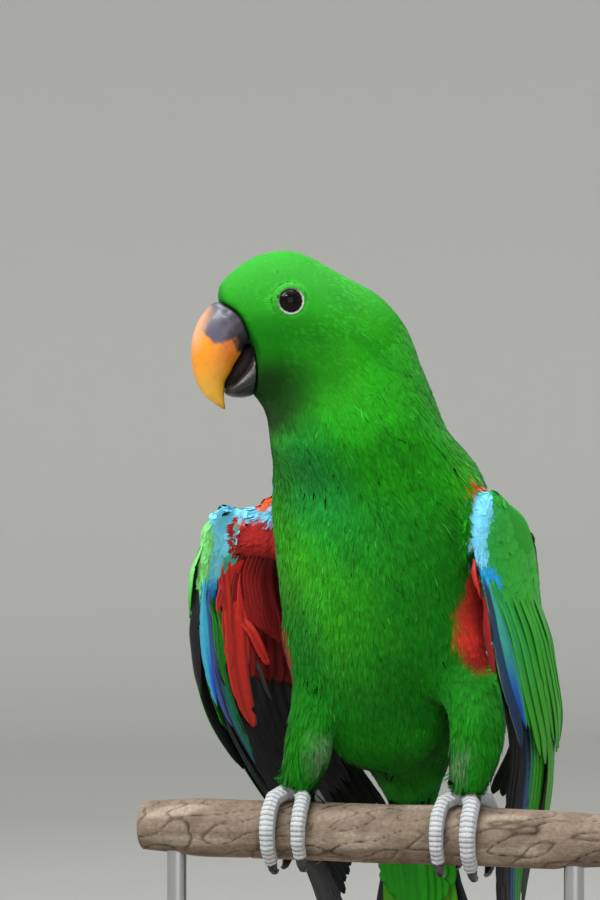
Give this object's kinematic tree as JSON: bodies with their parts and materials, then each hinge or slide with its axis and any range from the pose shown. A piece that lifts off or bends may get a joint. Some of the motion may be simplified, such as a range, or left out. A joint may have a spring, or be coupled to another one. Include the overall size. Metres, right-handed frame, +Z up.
{
  "type": "eclectus parrot display model",
  "caption": "Life-size male eclectus parrot, green with red flanks, blue wing edges and an orange bill, head turned to its right, wings loosely held, on a perch and plain stand.",
  "frame": {"origin": "centre of the stand base's underside", "axes": "+Z up, -Y the way the breast faces, +X the bird's left"},
  "size_m": [0.22, 0.19, 0.37],
  "materials": {
    "green_plumage": "small overlapping green body feathers, satin",
    "wing_plumage": "wing feathers, green outside, blue and black flight feathers, red beneath",
    "tail_plumage": "tail feathers, green with blue tips and dark undersides",
    "upper_bill": "glossy horn, orange to yellow, dark grey at its base",
    "lower_bill": "glossy blackish horn",
    "eye": "dark glossy eye",
    "foot_skin": "grey scaly skin",
    "claw_horn": "dark horn",
    "bark": "weathered branch bark",
    "stand_wood": "stained hardwood, satin lacquer",
    "rod_steel": "brushed"
  },
  "bodies": {
    "root": {"head": "green_plumage", "neck": "green_plumage", "torso": "green_plumage", "bill_upper": "upper_bill", "bill_lower": "lower_bill", "eye_left": "eye", "eye_right": "eye", "thigh_left": "green_plumage", "foot_left": "foot_skin", "thigh_right": "green_plumage", "foot_right": "foot_skin", "claw_left_inner_front": "claw_horn", "claw_left_outer_front": "claw_horn", "claw_left_inner_back": "claw_horn", "claw_left_outer_back": "claw_horn", "claw_right_inner_front": "claw_horn", "claw_right_outer_front": "claw_horn", "claw_right_inner_back": "claw_horn", "claw_right_outer_back": "claw_horn", "wing_left": "wing_plumage", "shoulder_left": "green_plumage", "wing_right": "wing_plumage", "shoulder_right": "green_plumage", "tail": "tail_plumage", "perch": "bark", "stand_base": "stand_wood", "stand_rod_left": "rod_steel", "stand_rod_right": "rod_steel"}
  },
  "joints": []
}
